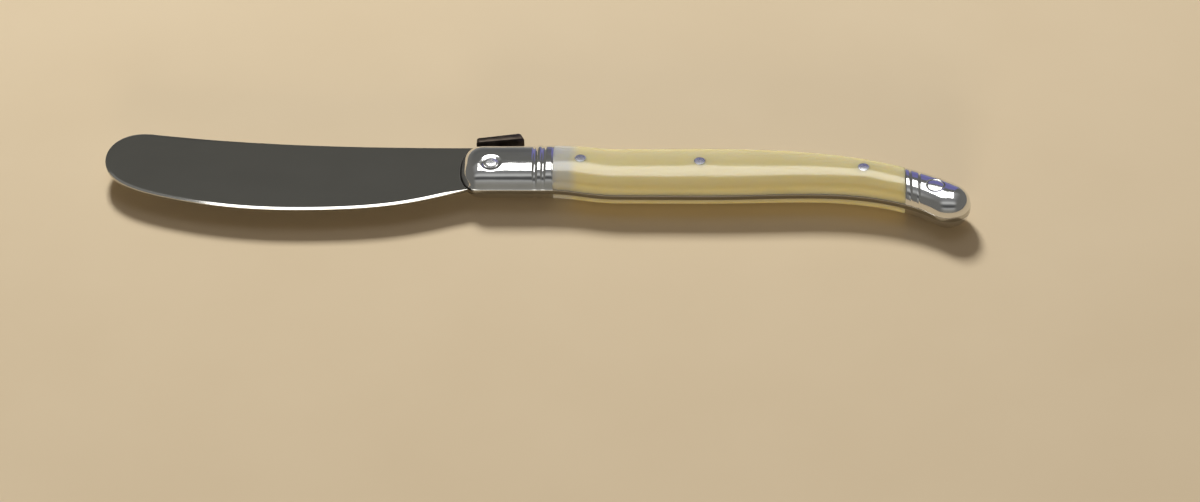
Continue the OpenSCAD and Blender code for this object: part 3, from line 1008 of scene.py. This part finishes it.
def outward_normals(points):
    """The outward normals of a closed outline, whichever way it runs."""
    count = len(points)
    area = sum(points[i - 1].cross(points[i]) for i in range(count))
    sign = math.copysign(1, area)
    normals = []
    for i in range(count):
        along = points[(i + 1) % count] - points[i - 1]
        normals.append(Vector((along.y, -along.x)).normalized() * sign)
    return normals


def skin_between(shape, rings):
    """Quads between rings of vertices, and a face on the first and the last ring."""
    for low, high in zip(rings, rings[1:]):
        for i in range(len(low)):
            j = (i + 1) % len(low)
            shape.faces.new((low[i], low[j], high[j], high[i]))
    for ring in (rings[0], rings[-1]):
        shape.faces.new(ring)


def plate_from_rings(name, rings):
    """A closed plate from rings of (x, y, height above the middle) points."""
    shape = bmesh.new()
    made = [[shape.verts.new((x + NOSE_X, y + NOSE_Y, MIDDLE_Z + z)) for x, y, z in ring]
            for ring in rings]
    skin_between(shape, made)
    mesh = bpy.data.meshes.new(name)
    shape.to_mesh(mesh)
    shape.free()
    recalculate(mesh)
    return link(bpy.data.objects.new(name, mesh))


def mirrored_rings(rings):
    """The rings of the upper half, then the same rings of the lower half."""
    return rings + [[(x, y, -z) for x, y, z in ring] for ring in reversed(rings)]


def edge_ring(outline, normals, step):
    """One ring of the cheek's edge, which is rolled where there is no bevel yet."""
    go = step / ROLL_STEPS
    last = step == ROLL_STEPS
    facet_go = 1 if last else step / (ROLL_STEPS - 1) * FACET_SHARE
    ring = []
    for (point, width, depth, bevel), normal in zip(outline, normals):
        facet_w = BEVEL_W * bevel
        inset = width * (1 - go) * (1 - bevel) + facet_w * (1 - facet_go)
        place = point - normal * inset
        level = cheek_height(place.y)
        fall = depth * go * go * (1 - bevel) + facet_w * min(facet_go, FACET_SHARE) * FACET_SLOPE
        if last:
            fall += (level - fall - LAND_HALF_T) * bevel
        ring.append((place.x, place.y, level - fall))
    return ring


def blade_plate():
    """The blade, with a part that is hidden in the tang."""
    outline = blade_outline()
    inner_x = NOSE_L + HIDDEN_REACH
    inner_y = BOLSTER_W / 2 - HIDDEN_INSET
    notch_y = BOLSTER_W / 2 - NOTCH_DEPTH - HIDDEN_CLEARANCE
    hidden = [(NOSE_L, -inner_y), (inner_x, -inner_y), (inner_x, notch_y), (SHOULDER_X, notch_y)]
    outline += [(Vector(place), *HIDDEN_ROLL, 0) for place in hidden]
    normals = outward_normals([point for point, *_ in outline])
    rings = [edge_ring(outline, normals, step) for step in range(ROLL_STEPS + 1)]
    return plate_from_rings("blade_and_tang_skin", mirrored_rings(rings))


def tang_outline():
    """The tang: its nose, the belly edge, the rounded end, and the back edge with the notch."""
    half = BOLSTER_W / 2
    wide = half + NOSE_LIP
    nose = []
    for step in range(2 * NOSE_STEPS + 1):
        turn = (step / NOSE_STEPS - 1) * PI / 2
        lift = narrowing(PI / 2 - abs(turn), NOSE_POWER)
        x = NOSE_L - (NOSE_L + NOSE_LIP) * math.cos(turn)
        nose.append(Vector((x, -math.copysign(min(wide * lift, half), turn))))
    length = BEAK_X - TANG_START_X
    stations = [TANG_START_X + length * i / TANG_STEPS for i in range(TANG_STEPS + 1)]
    low, high = [], []
    for x in stations:
        lean = Vector((math.sin(tilt(x)), math.cos(tilt(x))))
        low.append(Vector((x, middle_y(x))) - lean * half_width(x))
        high.append(Vector((x, middle_y(x))) + lean * half_width(x))
    centre = Vector((BEAK_X, middle_y(BEAK_X)))
    ahead = Vector((math.cos(BEAK_ANGLE), -math.sin(BEAK_ANGLE)))
    aside = Vector((math.sin(BEAK_ANGLE), math.cos(BEAK_ANGLE)))
    radius = BEAK_D / 2 - BEAK_TRIM
    beak = []
    for step in range(1, 2 * BEAK_STEPS):
        turn = (step / BEAK_STEPS - 1) * PI / 2
        beak.append(centre + (ahead * math.cos(turn) + aside * math.sin(turn)) * radius)
    front_x = FOOT_X[0] - PLATE_GAP
    rear_x = FOOT_X[1] + PLATE_GAP
    notch = [Vector((rear_x, half)), Vector((rear_x, half - NOTCH_DEPTH)),
             Vector((front_x, half - NOTCH_DEPTH)), Vector((front_x, half - NOTCH_LIP))]
    high = [place for place in high if place.x > rear_x + PLATE_GAP]
    nose = [place for place in nose if place.y < 0 or place.x < front_x - PLATE_GAP]
    return nose + low + beak + high[::-1] + notch


def tang_plate():
    """The tang, with its edge worn round."""
    points = tang_outline()
    normals = outward_normals(points)
    rings = []
    for step in range(TANG_EDGE_STEPS + 1):
        turn = step / TANG_EDGE_STEPS * EDGE_TURN
        inset = TANG_EDGE * (1 - math.sin(turn) ** TANG_EDGE_POWER)
        height = TANG_HALF_T * math.cos(turn) ** TANG_EDGE_POWER
        rings.append([(p.x - n.x * inset, p.y - n.y * inset, height)
                      for p, n in zip(points, normals)])
    return plate_from_rings("tang", mirrored_rings(rings))


def shade(piece, sharp_angle, material):
    """Smooth faces, with sharp edges where the shape turns by more than an angle."""
    mesh = piece.data
    shape = bmesh.new()
    shape.from_mesh(mesh)
    for face in shape.faces:
        face.smooth = True
    for edge in shape.edges:
        edge.smooth = edge.calc_face_angle(PI) < sharp_angle
    for face in shape.faces:
        if len(face.verts) > FLAT_FACE_SIDES:
            for edge in face.edges:
                edge.smooth = False
    shape.to_mesh(mesh)
    shape.free()
    mesh.materials.clear()
    mesh.materials.append(material)


blade = joined(blade_plate(), tang_plate())
shade(blade, BLADE_SHARP_ANGLE, BLADE_STEEL)
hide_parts("blade_and_tang")

# The spine plate
PLATE_T = 1.2 * MM
PLATE_W = PLATE_HIGH.z - PLATE_LOW.z
PLATE_RISE = 1.35 * MM
PLATE_REAR_SHARE = 0.07
PLATE_CORNER_R = 0.5 * MM
PLATE_CORNER_STEPS = 6
PLATE_EDGE_R = 0.1 * MM
PLATE_EDGE_STEPS = 3
PLATE_EDGE_ANGLE = math.radians(28)
# A corner is an edge that turns by more than this angle and stands at least this upright
CORNER_ANGLE = 1
CORNER_UPRIGHT = 0.6


def prism(name, outline, half_t):
    """A prism that stands on a side view of (x, y) points, as thick as given to each side."""
    rings = [[(x, y, z) for x, y in outline] for z in (half_t, -half_t)]
    return plate_from_rings(name, rings)


def spine_plate():
    """The sloping plate with rounded corners and edges, on a foot that stands in the tang."""
    seat = BOLSTER_W / 2 + PLATE_GAP
    side = [
        (PLATE_X, seat),
        (PLATE_X, seat + PLATE_T),
        (PLATE_END_X - PLATE_T, seat + PLATE_T + PLATE_RISE),
        (PLATE_END_X - PLATE_T / 2, seat + PLATE_T + PLATE_RISE),
        (PLATE_END_X, seat + PLATE_RISE * (1 - PLATE_REAR_SHARE)),
    ]
    plate = prism("spine_plate_skin", side, PLATE_W / 2)
    shape = bmesh.new()
    shape.from_mesh(plate.data)
    corners = [e for e in shape.edges
               if e.calc_face_angle(0) > CORNER_ANGLE
               and abs((e.verts[0].co - e.verts[1].co).normalized().y) > CORNER_UPRIGHT]
    bmesh.ops.bevel(shape, geom=corners, offset=PLATE_CORNER_R, segments=PLATE_CORNER_STEPS,
                    profile=0.5, affect="EDGES", clamp_overlap=True)
    shape.to_mesh(plate.data)
    shape.free()
    foot_y = BOLSTER_W / 2 - NOTCH_DEPTH + PLATE_GAP
    foot = prism("foot", [
        (FOOT_X[0], foot_y), (FOOT_X[0], seat + PLATE_T / 2),
        (FOOT_X[1], seat + PLATE_RISE), (FOOT_X[1], foot_y)], TANG_HALF_T - PLATE_GAP)
    joined(plate, foot)
    edges = plate.modifiers.new("edges", "BEVEL")
    edges.width = PLATE_EDGE_R
    edges.segments = PLATE_EDGE_STEPS
    edges.limit_method = "ANGLE"
    edges.angle_limit = PLATE_EDGE_ANGLE
    return settled(plate)


plate = spine_plate()
shade(plate, PLATE_SHARP_ANGLE, PLATE_METAL)
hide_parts("spine_plate")

for helper in (PIN_POINTS, FRONT_POINT, REAR_POINT):
    bpy.data.objects.remove(helper)
for piece in (*covers.values(), scale_pins, rear_rivet, front_rivet, blade, plate):
    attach(piece, "root")

# The floor, a hair below the knife
FLOOR_HALF = 4.0
FLOOR_DROP = 0.01 * MM
floor_mesh = bpy.data.meshes.new("floor")
floor_mesh.from_pydata(
    [(-FLOOR_HALF, -FLOOR_HALF, 0), (FLOOR_HALF, -FLOOR_HALF, 0),
     (FLOOR_HALF, FLOOR_HALF, 0), (-FLOOR_HALF, FLOOR_HALF, 0)], [], [(0, 1, 2, 3)])
floor = link(bpy.data.objects.new("floor", floor_mesh))
floor.location.z = -FLOOR_DROP
floor_mesh.materials.append(floor_paint())

# The light: a soft box above and behind the knife, a dim lamp overhead, a window behind it and a
# little to one side that gives the shadow, a low fill in front, and a plain room
SOFT_BOX_HEIGHT = 0.6
SOFT_BOX_NEAR = 0.085
SOFT_BOX_FAR = 0.465
SOFT_BOX_LEFT = -0.2
SOFT_BOX_RIGHT = 0.29
SOFT_BOX_RADIANCE = 4.5


def soft_box(name, low, high, radiance, tone):
    """A soft lamp that only shine shows. It faces down, between two corners at one height."""
    length = high.x - low.x
    width = high.y - low.y
    lamp = bpy.data.lights.new(name, "AREA")
    lamp.shape = "RECTANGLE"
    lamp.size = length
    lamp.size_y = width
    lamp.energy = radiance * PI * length * width
    lamp.color = tone
    box = link(bpy.data.objects.new(name, lamp))
    box.location = (low + high) / 2
    box.visible_diffuse = False
    return box


soft_box(
    "soft_box",
    Vector((SOFT_BOX_LEFT, SOFT_BOX_NEAR, SOFT_BOX_HEIGHT)),
    Vector((SOFT_BOX_RIGHT, SOFT_BOX_FAR, SOFT_BOX_HEIGHT)),
    SOFT_BOX_RADIANCE, (1, 0.99, 0.97))

# Lamps for the matt surfaces
MATT_LAMP_DISTANCE = 1.0


def matt_lamp(name, turn, aside, size, level, tone):
    """A lamp that only matt surfaces show, aimed at the knife.

    Turn is its angle from straight up, below zero behind the knife, and aside is how far it is
    swung round, both in degrees. Its level is how brightly it lights a white surface that faces it."""
    swing = Matrix.Rotation(math.radians(aside), 4, "Z") @ Matrix.Rotation(math.radians(turn), 4, "X")
    lamp = bpy.data.lights.new(name, "AREA")
    lamp.shape = "SQUARE"
    lamp.size = size
    lamp.energy = level * (PI * MATT_LAMP_DISTANCE) ** 2
    lamp.color = tone
    placed = link(bpy.data.objects.new(name, lamp))
    placed.matrix_world = swing @ Matrix.Translation((0, 0, MATT_LAMP_DISTANCE))
    placed.visible_glossy = False


matt_lamp("overhead", -15, 0, 0.5, 0.06, (1, 1, 1))
matt_lamp("window", -51, 14, 0.2, 1.17, (1, 0.985, 0.96))
matt_lamp("front_fill", 85, 0, 0.3, 0.8, (1, 0.87, 0.69))

# A dim bluish panel behind the rear half of the handle, which only the polished parts show
PANEL_LEFT = -0.012
PANEL_RIGHT = 0.2
PANEL_BACK = 0.3
PANEL_LOW = 0.045
PANEL_HIGH = 0.26
PANEL_RADIANCE = 0.3
panel = soft_box(
    "blue_panel",
    Vector((PANEL_LEFT, -(PANEL_HIGH - PANEL_LOW) / 2, 0)),
    Vector((PANEL_RIGHT, (PANEL_HIGH - PANEL_LOW) / 2, 0)),
    PANEL_RADIANCE, (0.18, 0.15, 1))
panel.rotation_euler.x = -PI / 2
panel.location.y = PANEL_BACK
panel.location.z = (PANEL_LOW + PANEL_HIGH) / 2

# The room as polished metal shows it, by the angle from straight up: below zero is behind
# the knife, above is in front
ROOM_STOPS = (
    (-110, (0.30, 0.29, 0.27)),
    (-88, (0.30, 0.30, 0.29)),
    (-80, (0.215, 0.215, 0.21)),
    (-75, (0.18, 0.18, 0.175)),
    (-70, (0.14, 0.14, 0.135)),
    (-62, (0.125, 0.125, 0.12)),
    (-55, (0.145, 0.144, 0.134)),
    (-46, (0.145, 0.144, 0.134)),
    (-42, (0.18, 0.178, 0.17)),
    (-39, (0.30, 0.30, 0.29)),
    (-10, (0.30, 0.30, 0.30)),
    (-4, (0.24, 0.24, 0.24)),
    (7, (0.24, 0.24, 0.24)),
    (15, (0.42, 0.42, 0.42)),
    (22, (0.58, 0.58, 0.57)),
    (28, (0.50, 0.50, 0.49)),
    (35, (0.20, 0.20, 0.20)),
    (41, (0.09, 0.09, 0.09)),
    (49, (0.09, 0.09, 0.09)),
    (54, (0.15, 0.15, 0.15)),
    (60, (0.38, 0.38, 0.37)),
    (66, (0.37, 0.37, 0.35)),
    (72, (0.30, 0.29, 0.27)),
    (80, (0.25, 0.24, 0.21)),
    (110, (0.22, 0.21, 0.18)),
)
ROOM_TURN = 120
# The room's two sides, and where they begin and end, as shares of a direction along the knife
SIDE_TONE = (0.17, 0.166, 0.155, 1)
SIDE_START = 0.36
SIDE_RUN = 0.34
# What the camera sees past the floor, and what matt surfaces get from the room
BACKDROP = (0.86, 0.85, 0.83, 1)
MATT_TONE = (0.09, 0.065, 0.04, 1)
world = bpy.data.worlds.new("room")
bpy.context.scene.world = world
world.use_nodes = True
world.node_tree.nodes.clear()
maker = Maker(world.node_tree)
wx, wy, wz = maker.parts(maker.node("ShaderNodeTexCoord").outputs["Generated"])
angle = (-wy).math("ARCTAN2", wz) * (180 / PI)
ramp = maker.node("ShaderNodeValToRGB", {0: (angle + ROOM_TURN) / (2 * ROOM_TURN)})
set_stops(
    ramp.color_ramp,
    [((place + ROOM_TURN) / (2 * ROOM_TURN), tone) for place, tone in ROOM_STOPS])
aside = ease((wx.math("ABSOLUTE") - SIDE_START) / SIDE_RUN)
room = mixed(maker, aside, ramp.outputs[0], SIDE_TONE)
path = maker.node("ShaderNodeLightPath")
room = mixed(maker, path.outputs["Is Glossy Ray"], MATT_TONE, room)
room = mixed(maker, path.outputs["Is Camera Ray"], room, BACKDROP)
light = maker.node("ShaderNodeBackground", {"Color": room, "Strength": 1})
maker.node("ShaderNodeOutputWorld", {"Surface": light.outputs[0]})

# The camera: the photograph's angle, fitted to the knife's outline
CAMERA_TURN = math.radians(-3.0576)
CAMERA_DOWN = math.radians(41.881)
CAMERA_ROLL = math.radians(-1.998)
CAMERA_DISTANCE = 730.72 * MM
# The point that it looks at
CAMERA_TARGET = Vector((NOSE_X + 26.498 * MM, NOSE_Y - 22.24 * MM, 4 * MM))
FOCAL_PX = 4021
PHOTO_WIDTH_PX = 1200
SENSOR = 36
NEAREST = 0.01
FARTHEST = 20
camera_data = bpy.data.cameras.new("camera")
camera_data.sensor_width = SENSOR
camera_data.lens = FOCAL_PX / PHOTO_WIDTH_PX * SENSOR
camera_data.clip_start = NEAREST
camera_data.clip_end = FARTHEST
camera = link(bpy.data.objects.new("camera", camera_data))
turned = (
    Matrix.Rotation(-CAMERA_TURN, 4, "Z")
    @ Matrix.Rotation(PI / 2 - CAMERA_DOWN, 4, "X")
    @ Matrix.Rotation(CAMERA_ROLL, 4, "Z")
)
away = turned @ Vector((0, 0, CAMERA_DISTANCE))
camera.matrix_world = Matrix.Translation(CAMERA_TARGET + away) @ turned
bpy.context.scene.camera = camera
bpy.context.scene.view_settings.view_transform = "Standard"
